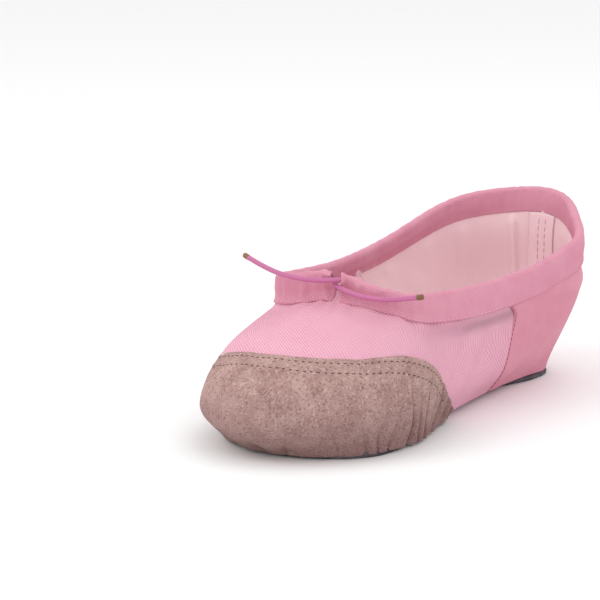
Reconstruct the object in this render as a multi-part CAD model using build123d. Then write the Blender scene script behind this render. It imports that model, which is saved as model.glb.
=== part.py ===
from build123d import *
import math
import os

# Ballet slipper for one foot: split leather soles, a canvas vamp, cotton quarters, a cotton
# lining, a suede patch round the toe, and a folded binding that carries an elastic drawstring.
# Frame: +Z up, toe at -Y, heel at +Y, +X to the wearer's left when the toe points away.
# The origin is on the ground, in the middle of the slipper's length and width.

# ---- Overall sizes, mm ----
slipper_length = 206.0
ball_width = 84.0
heel_height = 69.5
throat_height = 58.5

# ---- Cloth and leather, mm ----
canvas_thickness = 0.8
lining_thickness = 0.5
suede_thickness = 1.0
binding_thickness = 0.6
tape_thickness = 0.5
layer_gap = 0.1
tape_gap = 0.25
patch_gap = 0.3
fold_gap = 0.25
outsole_thickness = 2.2
base_thickness = 0.8
insole_foam_thickness = 2.0
insole_cover_thickness = 0.5

# ---- Binding and drawstring, mm ----
cord_diameter = 1.9
cord_room = 1.2
mouth_room = 1.4
mouth_gap = 4.2
mouth_offset = 3.2
binding_inside_depth = 17.0
cord_end_gap = 1.6
left_cord_depth = 2.6
right_cord_depth = 5.8
tip_length = 2.6
tip_diameter = 2.1

# ---- Seams, mm ----
back_tape_width = 12.5

stitch_width = 0.4
stitch_height = 0.3
suede_stitch_pitch = 2.6
suede_stitch_length = 1.4
suede_row_gap = 3.0
binding_stitch_pitch = 2.4
binding_stitch_length = 1.5
seam_stitch_pitch = 3.0
seam_stitch_length = 2.2
back_row_gap = 3.2
sole_stitch_inset = 3.0
sole_groove_width = 1.0
sole_groove_depth = 0.6

# ---- Shape of the upper ----
# Nine upright planes go from the centre front (station 0) round the side to the centre
# back (station 8). Each is turned about an upright line on the centreline: the toe line for
# the front, the heel line for the back. Five levels climb each plane: the sole edge, the
# bulge above it, the shoulder, the binding's seam and the topline.
drawn_width = 84.0
drawn_heel_height = 69.5
drawn_throat_height = 58.5
toe_reach = 72.1
heel_reach = 38.6
toe_line = -slipper_length / 2 + toe_reach
heel_line = slipper_length / 2 - heel_reach
waist = heel_line - toe_line
sole_edge_height = outsole_thickness + 0.3

station_turn = [0, 35, 65, 90, 90, 90, 90, 135, 180]
station_line = [
    toe_line,
    toe_line,
    toe_line,
    toe_line + 0.02 * waist,
    toe_line + 0.33 * waist,
    toe_line + 0.67 * waist,
    heel_line - 2,
    heel_line,
    heel_line,
]
# Reach from the turning line, and height above the sole edge, at the nine stations.
level_reach = [
    [57.0, 52.0, 41.5, 33.5, 25.5, 20.0, 18.0, 21.0, 24.0],
    [71.0, 58.5, 46.0, 38.5, 33.0, 27.7, 24.0, 23.6, 25.0],
    [56.4, 47.8, 41.0, 39.0, 36.5, 34.7, 32.8, 32.6, 33.5],
    [15.5, 18.8, 28.0, 33.5, 36.0, 37.3, 36.1, 32.7, 34.6],
    [16.2, 15.6, 25.8, 30.8, 32.5, 35.0, 35.0, 32.8, 37.4],
]
level_height = [
    [0.0, 0.0, 0.0, 0.0, 0.0, 0.0, 0.0, 0.0, 0.0],
    [12.5, 15.0, 15.5, 15.0, 13.0, 11.0, 9.5, 9.5, 10.0],
    [33.5, 32.5, 32.5, 33.0, 31.5, 31.0, 31.0, 32.5, 34.0],
    [46.5, 45.3, 42.8, 39.6, 38.5, 40.7, 45.2, 50.2, 52.5],
    [58.0, 56.5, 53.4, 51.0, 50.2, 52.5, 58.4, 65.6, 69.8],
]
# The left wall leans out at the throat and stands higher by the ankle, and the right wall
# the other way about: half the difference in reach and in height, at the nine stations.
lean_reach = [
    [0.0] * 9,
    [0.0, -0.6, -0.6, 0.0, 0.0, 0.0, 0.0, 0.0, 0.0],
    [0.0, -2.6, -2.4, -0.8, 0.0, 0.0, 0.0, 0.0, 0.0],
    [0.0, 1.8, 2.2, 0.8, 0.0, 0.0, 0.0, 0.0, 0.0],
    [0.0, 2.2, 2.8, 1.2, 0.0, 0.0, 0.0, 0.0, 0.0],
]
lean_height = [
    [0.0] * 9,
    [0.0] * 9,
    [0.0] * 9,
    [0.0, -1.8, -1.6, 0.0, 0.5, 0.8, 1.3, 2.0, 1.0],
    [0.0, 0.0, 0.0, 0.4, 0.8, 1.7, 2.8, 3.8, 2.0],
]
stations = 8
topline = 4.0
binding_seam = 3.0
seam_station = 4.75
suede_end_station = 3.6

wide = ball_width / drawn_width
tall_back = (heel_height - sole_edge_height) / (drawn_heel_height - 2.5)
tall_front = (throat_height - sole_edge_height) / (drawn_throat_height - 2.5)

# ---- Depth of each layer: 0 is the outer face of the canvas, + is outward ----
canvas_inner = -canvas_thickness
lining_outer = canvas_inner - layer_gap
lining_inner = lining_outer - lining_thickness
fold_middle = lining_inner / 2
fold_half_flat = fold_gap - fold_middle
fold_half_cord = (cord_diameter + cord_room) / 2
base_inset = -lining_inner + 0.4

def smooth(values, k, mirrored=1.0, end_sum=0.0):
    # Smooth curve through one value per station. Past either end the values repeat
    # mirrored, so the two sides meet without a crease.
    before = mirrored * values[1]
    after = end_sum + mirrored * values[stations - 1]
    row = [before] + list(values) + [after]
    i = min(int(k), stations - 1)
    f = k - i
    p0, p1, p2, p3 = row[i : i + 4]
    slope_1 = (p2 - p0) / 2
    slope_2 = (p3 - p1) / 2
    return (
        (2 * f**3 - 3 * f**2 + 1) * p1
        + (f**3 - 2 * f**2 + f) * slope_1
        + (3 * f**2 - 2 * f**3) * p2
        + (f**3 - f**2) * slope_2
    )

def side_and_station(u):
    # u runs right round the slipper: 0 centre front, 8 centre back, 16 centre front again.
    if u > 2 * stations:
        u -= 2 * stations
    if u < 0:
        return -1.0, -u
    if u > stations:
        return -1.0, 2 * stations - u
    return 1.0, u

def station_plane(u):
    # Turning line's y and the plane's outward direction on the ground.
    side, k = side_and_station(u)
    turn = math.radians(smooth(station_turn, k, -1.0, 360.0))
    line = smooth(station_line, k)
    east = side * wide * math.sin(turn)
    north = -math.cos(turn)
    stretch = math.hypot(east, north)
    return line, east / stretch, north / stretch, stretch

def profile(u, t):
    # Outer face of the canvas: reach and height at level t (0 sole edge to 4 topline).
    side, k = side_and_station(u)
    stretch = station_plane(u)[3]
    lift = tall_front + (tall_back - tall_front) * k / stations
    lean = side * math.sin(math.radians(smooth(station_turn, k, -1.0, 360.0)))
    reach = []
    height = []
    for n in range(5):
        reach.append((smooth(level_reach[n], k) - lean * smooth(lean_reach[n], k)) * stretch)
        raised = smooth(level_height[n], k) * lift - lean * smooth(lean_height[n], k)
        height.append(sole_edge_height + raised)
    return tuple(through_levels(row, t) for row in (reach, height))

def through_levels(row, t):
    ends = [2 * row[0] - row[1]] + row + [2 * row[4] - row[3]]
    i = max(0, min(int(t), 3))
    f = t - i
    p0, p1, p2, p3 = ends[i : i + 4]
    slope_1 = (p2 - p0) / 2
    slope_2 = (p3 - p1) / 2
    return (
        (2 * f**3 - 3 * f**2 + 1) * p1
        + (f**3 - 2 * f**2 + f) * slope_1
        + (3 * f**2 - 2 * f**3) * p2
        + (f**3 - f**2) * slope_2
    )

def profile_frame(u, t):
    # Point on the profile, its upward direction and its outward direction, in the plane.
    step = 0.01
    low = profile(u, max(t - step, 0))
    high = profile(u, min(t + step, topline))
    rise = (high[0] - low[0], high[1] - low[1])
    size = math.hypot(*rise)
    up = (rise[0] / size, rise[1] / size)
    out = (up[1], -up[0])
    return profile(u, t), up, out

def place(u, reach, height):
    line, east, north, stretch = station_plane(u)
    return Vector(reach * east, line + reach * north, height)

def on_upper(u, t, out=0.0, along=0.0):
    # Point a distance `out` from the canvas's outer face and `along` up the profile.
    point, up, outward = profile_frame(u, t)
    reach = point[0] + out * outward[0] + along * up[0]
    height = point[1] + out * outward[1] + along * up[1]
    return place(u, reach, height)

def level_below_topline(u, depth):
    # Level at which the profile has dropped `depth` mm from the topline.
    t = topline
    last = profile(u, t)
    dropped = 0.0
    while t > 0.02:
        t -= 0.02
        point = profile(u, t)
        fall = math.hypot(point[0] - last[0], point[1] - last[1])
        dropped += fall
        last = point
        if dropped >= depth:
            return t + 0.02 * (dropped - depth) / fall
    return t

def spread(first, last, count):
    return [first + (last - first) * n / (count - 1) for n in range(count)]

def faceted(rings):
    # Closed solid with flat three-sided facets through a run of closed cross-sections.
    facets = cap(rings[0]) + cap(rings[-1])
    for near, far in zip(rings, rings[1:]):
        for i in range(len(near)):
            j = (i + 1) % len(near)
            facets.append(flat_face([near[i], near[j], far[j]]))
            facets.append(flat_face([near[i], far[j], far[i]]))
    return Solid(Shell(facets))

def cap(ring):
    # Flat facets across one end: the ring runs along one side and back down the other.
    facets = []
    last = len(ring) - 1
    for i in range(len(ring) // 2 - 1):
        facets.append(flat_face([ring[i], ring[i + 1], ring[last - i]]))
        facets.append(flat_face([ring[i + 1], ring[last - i - 1], ring[last - i]]))
    return facets

def flat_face(points):
    return Face(Wire.make_polygon(points, close=True))

def straight_up(u, t):
    return u

def seam_curve(t):
    # Station of the side seam: it runs forward as it climbs.
    return 4.88 - 0.31 * (t / 3) ** 2

def bent(u, t):
    # Station moved so that the side seams follow their curve and both centre lines stay put.
    side, k = side_and_station(u)
    share = k / seam_station if k <= seam_station else (stations - k) / (stations - seam_station)
    moved = k + (seam_curve(t) - seam_station) * share
    if side > 0:
        return moved
    return -moved if u < 0 else 2 * stations - moved

def layer_ring(u, t_low, t_high, outer, inner, bend):
    # Closed cross-section of one layer of cloth between two levels.
    levels = spread(t_low, t_high, 12)
    outside = [on_upper(bend(u, t), t, outer) for t in levels]
    inside = [on_upper(bend(u, t), t, inner) for t in reversed(levels)]
    return outside + inside

def layer(us, low, high, outer, inner, bend=straight_up):
    # Cross-sections carried round the upper; low and high give the levels at each u.
    return faceted([layer_ring(u, low(u), high(u), outer, inner, bend) for u in us])

def outline_at(height, inset, count=48):
    # Closed plan outline that follows the sole edge, moved in by `inset`.
    points = []
    for n in range(count):
        u = 2 * stations * n / count
        reach = profile(u, 0)[0] - inset
        points.append(place(u, reach, height))
    return points

def plate(outline, thickness):
    return extrude(flat_face(outline), thickness, dir=(0, 0, 1))

# ---- Soles ----
pad_top = outsole_thickness

def pad_outline(half_points, inset=0.0, count=60):
    # Closed outline on the ground from points down one side; first and last on the centre.
    right = [Vector(x * wide, y, 0) for x, y in half_points]
    left = [Vector(-p.X, p.Y, 0) for p in reversed(right[1:-1])]
    edge = Edge.make_spline(right + left, periodic=True)
    points = []
    for n in range(count):
        inward = (edge % (n / count)).cross(Vector(0, 0, 1)) * -inset
        points.append((edge @ (n / count)) + inward)
    return points

front_pad_points = [
    (0, toe_line - 54.5),
    (15.5, toe_line - 51.5),
    (29.5, toe_line - 43.5),
    (36.8, toe_line - 31),
    (36.0, toe_line - 16),
    (29.5, toe_line + 1),
    (17.5, toe_line + 12.5),
    (0, toe_line + 16.5),
]
heel_pad_points = [
    (0, heel_line - 28),
    (10.5, heel_line - 22.5),
    (16.2, heel_line - 11),
    (18.3, heel_line + 2),
    (15.0, heel_line + 15),
    (0, heel_line + 22.5),
]

def outsole(points):
    # Leather pad with a channel for its stitches cut in the ground side.
    body = plate(pad_outline(points), pad_top)
    outer = plate(pad_outline(points, sole_stitch_inset), sole_groove_depth)
    inner = plate(pad_outline(points, sole_stitch_inset + sole_groove_width), sole_groove_depth)
    return body - (outer - inner)

def sole_stitches(points, pitch=4.0, length=2.4):
    # Row of short stitches inside the channel, clear of the ground.
    path = pad_outline(points, sole_stitch_inset + sole_groove_width / 2, 240)
    row = []
    travelled = 0.0
    for here, there in zip(path, path[1:]):
        step = there - here
        travelled += step.length
        if travelled >= pitch:
            travelled -= pitch
            spot = Vector(here.X, here.Y, sole_groove_depth / 2)
            row.append(stitch(spot, step, Vector(0, 0, 1), length))
    return Compound(row)

# ---- Upper ----
side_us = spread(seam_station + 0.01, stations - 0.012, 19)
front_us = spread(-seam_station, seam_station, 57)

def seam_low(u):
    return 0.0

def seam_high(u):
    # Canvas and lining end inside the binding's fold, above the edges of both its legs.
    return max(binding_seam + 0.12, level_below_topline(u, binding_inside_depth - 1.4))

def quarter_us(side):
    us = list(side_us)
    if side < 0:
        us = [2 * stations - u for u in us]
    return us

def suede_edge(k):
    # Upper edge of the toe patch: level along the front, then falling to the sole.
    flat_end = 1.5
    if k <= flat_end:
        return 2.04
    fall = (k - flat_end) / 2.35
    return 2.04 * (1 - fall**2)

def suede_low(u):
    return 0.07

def suede_high(u):
    return suede_edge(abs(u))

# ---- Binding ----
def fold_half(u, t):
    # Half the inside width of the fold: flat at its seam, round the cord at the top.
    side, k = side_and_station(u)
    swell = min(max((t - binding_seam - 0.25) / 0.35, 0.0), 1.0)
    swell = swell * swell * (3 - 2 * swell)
    room = mouth_room / 2 * math.exp(-((k / 0.9) ** 2))
    return fold_half_flat + (fold_half_cord + room - fold_half_flat) * swell

def fold_line(u, extra, t_outer, t_inner, reverse=False):
    # Line over the fold: up the outer leg, round the top and down the inner leg.
    top_half = fold_half(u, topline) + extra
    total = top_half + binding_thickness - extra
    leg_top = level_below_topline(u, total + 0.3)
    points = []
    for t in spread(t_outer, leg_top, 5):
        points.append(on_upper(u, t, fold_middle + fold_half(u, t) + extra))
    for turn in (25, 60, 90, 120, 155):
        out = fold_middle + top_half * math.cos(math.radians(turn))
        drop = total - top_half * math.sin(math.radians(turn))
        points.append(on_upper(u, topline, out, -drop))
    for t in spread(leg_top, t_inner, 5):
        points.append(on_upper(u, t, fold_middle - fold_half(u, t) - extra))
    if reverse:
        points.reverse()
    return points

def binding_ring(u):
    t_outer = binding_seam
    t_inner = level_below_topline(u, binding_inside_depth)
    outside = fold_line(u, binding_thickness, t_outer, t_inner)
    inside = fold_line(u, 0.0, t_outer, t_inner, reverse=True)
    return outside + inside

def station_at_x(x):
    # Station on the front of the topline at a given x; below 0 it is left of the centre.
    step = 0.002 if x > 0 else -0.002
    u = 0.0
    while abs(on_upper(u, topline).X) < abs(x):
        u += step
    return u

# The casing opens a little to the right of the centre; both ends are stations on its run.
casing_start = station_at_x(mouth_offset + mouth_gap / 2)
casing_end = 2 * stations + station_at_x(mouth_offset - mouth_gap / 2)

def binding():
    near = spread(casing_start, 1.5, 8)
    round_back = spread(1.5, 2 * stations - 1.5, 41)[1:-1]
    far = spread(2 * stations - 1.5, casing_end, 9)
    return faceted([binding_ring(u) for u in near + round_back + far])

# ---- Drawstring ----
def cord_point(u, depth):
    # Middle of the cord inside the fold, `depth` below the topline.
    return on_upper(u, level_below_topline(u, depth), fold_middle)

def filleted(points):
    # Straight runs joined by arcs as large as their runs allow.
    radii = []
    for before, corner, after in zip(points, points[1:], points[2:]):
        turn = math.radians((corner - before).get_angle(after - corner))
        run = min((corner - before).length, (after - corner).length)
        radii.append(0.45 * run / math.tan(turn / 2))
    return FilletPolyline(*points, radius=radii), radii

def tube(points, diameter, name):
    path, radii = filleted(points)
    start = Plane(path @ 0, z_dir=path % 0)
    solid = sweep(start * Circle(diameter / 2), path=path)
    section = math.pi * diameter**2 / 4
    print(name, "length", round(path.length, 1), "radii", [round(r, 1) for r in radii])
    print(name, "volume over section x length", round(solid.volume / (section * path.length), 3))
    return solid, path

def loop_cord():
    # The drawstring inside the fold, from one mouth round the heel to the other.
    start = station_at_x(mouth_offset + mouth_gap / 2 + cord_end_gap)
    end = 2 * stations + station_at_x(mouth_offset - mouth_gap / 2 - cord_end_gap)
    deep = 2.6
    points = []
    for u in spread(start, end, 46):
        near_left = math.exp(-(((u - start) / 1.2) ** 2))
        near_right = math.exp(-(((u - end) / 1.2) ** 2))
        depth = deep + (left_cord_depth - deep) * near_left + (right_cord_depth - deep) * near_right
        points.append(cord_point(u, depth))
    return tube(points, cord_diameter, "drawstring_loop")[0]


# Free ends of the drawstring, from inside the casing's mouth to the sealed tip.
left_tail_route = [
    (4.9, -45.1, 57.6),
    (0.3, -51.1, 57.4),
    (-9.3, -54.2, 57.8),
    (-21.7, -54.4, 59.1),
    (-33.4, -52.6, 62.3),
]
right_tail_route = [
    (1.5, -44.8, 55.2),
    (8.0, -47.7, 54.5),
    (17.0, -47.9, 53.0),
    (27.0, -45.0, 52.7),
    (35.8, -40.2, 54.2),
]


def tail(route, name):
    return tube([Vector(*point) for point in route], cord_diameter, name)


def tip(path):
    # Heat-sealed end: a short, slightly fatter plug with a rounded nose.
    end = Plane(path @ 1, z_dir=path % 1)
    plug = end * Cylinder(tip_diameter / 2, tip_length, align=(Align.CENTER, Align.CENTER, Align.MIN))
    return fillet(plug.edges().sort_by_distance((path @ 1) + (path % 1) * 9)[0], tip_diameter * 0.35)

# ---- Stitches on the upper ----
def stitch(spot, along, outward, length):
    plane = Plane(spot, x_dir=along, z_dir=outward)
    return plane * Box(length, stitch_width, stitch_height)

def outward_at(u, t):
    a = on_upper(u, t)
    b = on_upper(u, t, 1.0)
    return b - a

def row_along(u_first, u_last, level, out, pitch, length):
    # Evenly spaced stitches along a line of given level on the upper.
    line = [on_upper(u, level(u), out) for u in spread(u_first, u_last, 160)]
    us = spread(u_first, u_last, 160)
    row = []
    travelled = 0.0
    wanted = pitch / 2
    for n in range(1, len(line)):
        run = (line[n] - line[n - 1]).length
        while travelled + run >= wanted:
            part = (wanted - travelled) / run
            spot = line[n - 1] + (line[n] - line[n - 1]) * part
            u = us[n - 1] + (us[n] - us[n - 1]) * part
            along = line[n] - line[n - 1]
            row.append(stitch(spot, along, outward_at(u, level(u)), length))
            wanted += pitch
        travelled += run
    return row

def column_up(station_at, t_low, t_high, out, pitch, length):
    # Evenly spaced stitches up a seam.
    row = []
    ts = spread(t_low, t_high, 90)
    line = [on_upper(station_at(t), t, out) for t in ts]
    travelled = 0.0
    wanted = pitch / 2
    for n in range(1, len(line)):
        run = (line[n] - line[n - 1]).length
        while travelled + run >= wanted:
            along = (line[n] - line[n - 1]).normalized()
            outward = outward_at(station_at(ts[n]), ts[n])
            row.append(stitch(line[n], along, outward, length))
            wanted += pitch
        travelled += run
    return row

def down_suede(distance):
    # Level of a stitch row a distance below the suede's edge.
    def level(u):
        edge = suede_edge(abs(u))
        rise = (on_upper(u, edge) - on_upper(u, edge - 0.1)).length / 0.1
        return edge - distance / rise

    return level

def suede_row(distance):
    reach = suede_end_station - 0.45
    out = patch_gap + suede_thickness + stitch_height / 2 + 0.12
    return Compound(row_along(-reach, reach, down_suede(distance), out, suede_stitch_pitch, suede_stitch_length))

def binding_row():
    out = fold_middle + fold_half_flat + binding_thickness + stitch_height / 2 + 0.35
    level = binding_seam + 0.1
    row = row_along(casing_start + 0.05, casing_end - 0.05, lambda u: level, out,
                    binding_stitch_pitch, binding_stitch_length)
    return Compound(row)

def side_seam_column(side):
    def station_at(t):
        k = seam_curve(t) + 0.07
        return k if side > 0 else 2 * stations - k

    return Compound(column_up(station_at, 0.1, binding_seam - 0.1, stitch_height / 2 + 0.15,
                              seam_stitch_pitch, seam_stitch_length))

def back_tape():
    # Tape over the lining's back seam, its width laid across the centre back.
    half = back_tape_width / 2
    k = stations
    while abs(on_upper(k, 2.0).X) < half:
        k -= 0.01
    us = spread(k, 2 * stations - k, 7)
    out = lining_inner - tape_gap
    return layer(us, lambda u: 0.75, lambda u: level_below_topline(u, binding_inside_depth + 0.6),
                 out, out - tape_thickness)

def back_stitches():
    out = lining_inner - tape_gap - tape_thickness - stitch_height / 2 - 0.25
    high = level_below_topline(stations, binding_inside_depth + 2.0)
    rows = []
    reach = on_upper(stations - 0.5, 2.0).X
    for shift in (-1.5, -0.5, 0.5, 1.5):
        k = stations - 0.5 * shift * back_row_gap / reach
        rows += column_up(lambda t: k, 0.9, high, out, seam_stitch_pitch, seam_stitch_length)
    return Compound(rows)

def build():
    parts = {}
    parts["front_outsole"] = outsole(front_pad_points)
    parts["heel_outsole"] = outsole(heel_pad_points)
    parts["front_outsole_stitches"] = sole_stitches(front_pad_points)
    parts["heel_outsole_stitches"] = sole_stitches(heel_pad_points)

    base_low = outsole_thickness + layer_gap
    foam_low = base_low + base_thickness + layer_gap
    cover_low = foam_low + insole_foam_thickness + layer_gap
    parts["base_canvas"] = plate(outline_at(base_low, base_inset), base_thickness)
    parts["insole_foam"] = plate(outline_at(foam_low, base_inset), insole_foam_thickness)
    parts["insole_cover"] = plate(outline_at(cover_low, base_inset), insole_cover_thickness)

    parts["vamp_canvas"] = layer(front_us, seam_low, seam_high, 0.0, canvas_inner, bent)
    parts["vamp_lining"] = layer(front_us, seam_low, seam_high, lining_outer, lining_inner, bent)
    for side, name in ((1, "left"), (-1, "right")):
        us = quarter_us(side)
        parts["quarter_canvas_" + name] = layer(us, seam_low, seam_high, 0.0, canvas_inner, bent)
        parts["quarter_lining_" + name] = layer(
            us, seam_low, seam_high, lining_outer, lining_inner, bent)
        parts["side_seam_stitches_" + name] = side_seam_column(side)
    parts["back_seam_tape"] = back_tape()
    parts["back_seam_stitches"] = back_stitches()

    suede_us = spread(-suede_end_station, suede_end_station, 33)
    suede_in = patch_gap
    parts["toe_patch"] = layer(suede_us, suede_low, suede_high, suede_in + suede_thickness, suede_in)
    parts["toe_patch_upper_stitches"] = suede_row(2.2)
    parts["toe_patch_lower_stitches"] = suede_row(2.2 + suede_row_gap)

    parts["topline_binding"] = binding()
    parts["binding_stitches"] = binding_row()
    parts["drawstring_loop"] = loop_cord()
    for route, name in ((left_tail_route, "left"), (right_tail_route, "right")):
        solid, path = tail(route, "drawstring_tail_" + name)
        parts["drawstring_tail_" + name] = solid
        parts["cord_tip_" + name] = tip(path)
    return parts

os.makedirs("parts", exist_ok=True)
for name, shape in build().items():
    export_step(shape, "parts/" + name + ".step")
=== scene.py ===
import math
import bmesh
import bpy
import numpy as np
from mathutils import Matrix, Vector


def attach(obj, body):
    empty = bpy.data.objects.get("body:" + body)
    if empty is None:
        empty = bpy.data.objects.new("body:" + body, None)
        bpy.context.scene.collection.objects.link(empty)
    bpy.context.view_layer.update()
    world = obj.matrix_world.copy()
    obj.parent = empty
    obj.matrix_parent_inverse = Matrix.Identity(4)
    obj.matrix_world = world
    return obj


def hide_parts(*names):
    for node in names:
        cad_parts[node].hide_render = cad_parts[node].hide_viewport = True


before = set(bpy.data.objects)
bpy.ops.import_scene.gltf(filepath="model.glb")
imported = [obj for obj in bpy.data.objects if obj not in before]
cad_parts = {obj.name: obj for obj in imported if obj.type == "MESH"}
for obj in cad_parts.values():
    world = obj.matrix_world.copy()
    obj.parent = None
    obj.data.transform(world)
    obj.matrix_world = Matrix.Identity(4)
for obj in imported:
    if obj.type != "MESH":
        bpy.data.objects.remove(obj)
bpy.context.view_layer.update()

mm = 0.001
scene = bpy.context.scene
print("frame loaded")

# ---- camera ----
view = {"azimuth": 36.5, "elevation": 13.4, "distance": 0.875, "focal": 135.96,
        "target": (0.0, -0.0039, 0.025), "aimRight": -0.0428, "aimUp": 0.0189}


def makeCamera(v):
    az, el = math.radians(v["azimuth"]), math.radians(v["elevation"])
    back = Vector((math.sin(az) * math.cos(el), -math.cos(az) * math.cos(el), math.sin(el)))
    right = Vector((math.cos(az), math.sin(az), 0))
    up = back.cross(right)
    aim = (-back + right * v["aimRight"] + up * v["aimUp"]).normalized()
    data = bpy.data.cameras.new("viewCamera")
    data.sensor_width = 36
    data.lens = v["focal"]
    data.clip_start = 0.01
    cam = bpy.data.objects.new("viewCamera", data)
    scene.collection.objects.link(cam)
    cam.location = Vector(v["target"]) + back * v["distance"]
    cam.rotation_euler = aim.to_track_quat("-Z", "Y").to_euler()
    scene.camera = cam


makeCamera(view)

# ---- node helpers ----


def srgb(code):
    # sRGB hex to linear: c/12.92 below 0.04045, else ((c + 0.055)/1.055)^2.4
    values = [int(code[i:i + 2], 16) / 255 for i in (1, 3, 5)]
    return [v / 12.92 if v <= 0.04045 else ((v + 0.055) / 1.055) ** 2.4 for v in values] + [1.0]


def newMaterial(name):
    mat = bpy.data.materials.new(name)
    mat.use_nodes = True
    mat.node_tree.nodes.clear()
    return mat


def add(mat, kind, links=None, **settings):
    # adds one node; "in_" settings and links are keyed by socket name or number
    node = mat.node_tree.nodes.new(kind)
    for key, value in settings.items():
        if key == "inputs":
            for socket, v in value.items():
                node.inputs[socket].default_value = v
        else:
            setattr(node, key, value)
    for socket, source in (links or {}).items():
        if isinstance(source, tuple):
            mat.node_tree.links.new(source[0].outputs[source[1]], node.inputs[socket])
        else:
            mat.node_tree.links.new(source.outputs[0], node.inputs[socket])
    return node


def wearMaterial(obj, mat):
    obj.data.materials.clear()
    obj.data.materials.append(mat)


def mixColour(mat, factor, a, b, blend="MIX"):
    # colours a and b are hex strings or nodes
    node = add(mat, "ShaderNodeMix", data_type="RGBA", blend_type=blend)
    for index, value in ((6, a), (7, b)):
        if isinstance(value, str):
            node.inputs[index].default_value = srgb(value)
        else:
            source = value if isinstance(value, tuple) else (value, 0)
            mat.node_tree.links.new(source[0].outputs[source[1]], node.inputs[index])
    if isinstance(factor, (int, float)):
        node.inputs[0].default_value = factor
    else:
        mat.node_tree.links.new(factor.outputs[0], node.inputs[0])
    return (node, 2)


def finishSurface(mat, colour, height, roughness, bumpDistance, bumpStrength=1.0, sheen=0.0,
                  sheenTint="#ffffff", specular=0.5, sheenRoughness=0.5):
    links = {}
    if height is not None:
        links["Normal"] = add(mat, "ShaderNodeBump", {"Height": height},
                              inputs={"Distance": bumpDistance, "Strength": bumpStrength})
    if isinstance(colour, tuple) or not isinstance(colour, str):
        links["Base Color"] = colour
    shader = add(mat, "ShaderNodeBsdfPrincipled", links,
                 inputs={"Roughness": roughness, "Sheen Weight": sheen, "Sheen Roughness": sheenRoughness,
                         "Sheen Tint": srgb(sheenTint), "Specular IOR Level": specular})
    if isinstance(colour, str):
        shader.inputs["Base Color"].default_value = srgb(colour)
    add(mat, "ShaderNodeOutputMaterial", {"Surface": shader})
    return mat


def wovenHeight(mat, pitch, turn=0.0, twist=1.0):
    # plain weave: |sin| of the warp times |sin| of the weft, on the piece's own UV in metres
    uv = add(mat, "ShaderNodeUVMap")
    grid = add(mat, "ShaderNodeMapping", {"Vector": uv},
               inputs={"Rotation": (0, 0, turn), "Scale": (math.pi / pitch, math.pi / pitch, 1)})
    wobble = add(mat, "ShaderNodeTexNoise", {"Vector": uv}, inputs={"Scale": 90.0, "Detail": 2.0})
    shift = add(mat, "ShaderNodeVectorMath", {0: (wobble, 1)}, operation="MULTIPLY",
                inputs={1: (twist, twist, 0)})
    moved = add(mat, "ShaderNodeVectorMath", {0: grid, 1: shift}, operation="ADD")
    axes = add(mat, "ShaderNodeSeparateXYZ", {"Vector": moved})
    threads = []
    for axis in (0, 1):
        wave = add(mat, "ShaderNodeMath", {0: (axes, axis)}, operation="SINE")
        threads.append(add(mat, "ShaderNodeMath", {0: wave}, operation="ABSOLUTE"))
    cross = add(mat, "ShaderNodeMath", {0: threads[0], 1: threads[1]}, operation="MULTIPLY")
    return cross, uv


def clothMaterial(name, light, dark, pitch, turn, depth, sheen, mottle="#ffffff", mottleScale=45.0,
                  roughness=0.9, weaveShow=0.55):
    mat = newMaterial(name)
    weave, uv = wovenHeight(mat, pitch, turn)
    soft = add(mat, "ShaderNodeMath", {0: weave}, operation="MULTIPLY", inputs={1: weaveShow})
    shade = add(mat, "ShaderNodeMath", {0: soft}, operation="ADD", inputs={1: 1 - weaveShow})
    place = add(mat, "ShaderNodeTexCoord")
    cloud = add(mat, "ShaderNodeTexNoise", {"Vector": (place, 3)},
                inputs={"Scale": mottleScale, "Detail": 4.0, "Roughness": 0.6})
    base = mixColour(mat, shade, dark, light)
    level = add(mat, "ShaderNodeMapRange", {"Value": cloud},
                inputs={"From Min": 0.35, "From Max": 0.7, "To Min": 0.0, "To Max": 0.22})
    tinted = mixColour(mat, level, base, mottle)
    return finishSurface(mat, tinted, weave, roughness, depth, 0.8, sheen, light, 0.25)


# ---- the slipper's shape ----
# The same upper as in the part: nine planes round the slipper, five levels up each.
fitted = {"toeReach": 72.1, "heelReach": 38.6, "seamStation": 4.75}
toeLine = -103.0 + fitted["toeReach"]
heelLine = 103.0 - fitted["heelReach"]
waist = heelLine - toeLine
turns = [0, 35, 65, 90, 90, 90, 90, 135, 180]
lines = [toeLine, toeLine, toeLine, toeLine + 0.02 * waist, toeLine + 0.33 * waist,
         toeLine + 0.67 * waist, heelLine - 2, heelLine, heelLine]
reaches = [
    [57.0, 52.0, 41.5, 33.5, 25.5, 20.0, 18.0, 21.0, 24.0],
    [71.0, 58.5, 46.0, 38.5, 33.0, 27.7, 24.0, 23.6, 25.0],
    [56.4, 47.8, 41.0, 39.0, 36.5, 34.7, 32.8, 32.6, 33.5],
    [15.5, 18.8, 28.0, 33.5, 36.0, 37.3, 36.1, 32.7, 34.6],
    [16.2, 15.6, 25.8, 30.8, 32.5, 35.0, 35.0, 32.8, 37.4],
]
heights = [
    [2.5, 2.5, 2.5, 2.5, 2.5, 2.5, 2.5, 2.5, 2.5],
    [15.0, 17.5, 18.0, 17.5, 15.5, 13.5, 12.0, 12.0, 12.5],
    [36.0, 35.0, 35.0, 35.5, 34.0, 33.5, 33.5, 35.0, 36.5],
    [49.0, 47.8, 45.3, 42.1, 41.0, 43.2, 47.7, 52.7, 55.0],
    [60.5, 59.0, 55.9, 53.5, 52.7, 55.0, 60.9, 68.1, 72.3],
]
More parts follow.
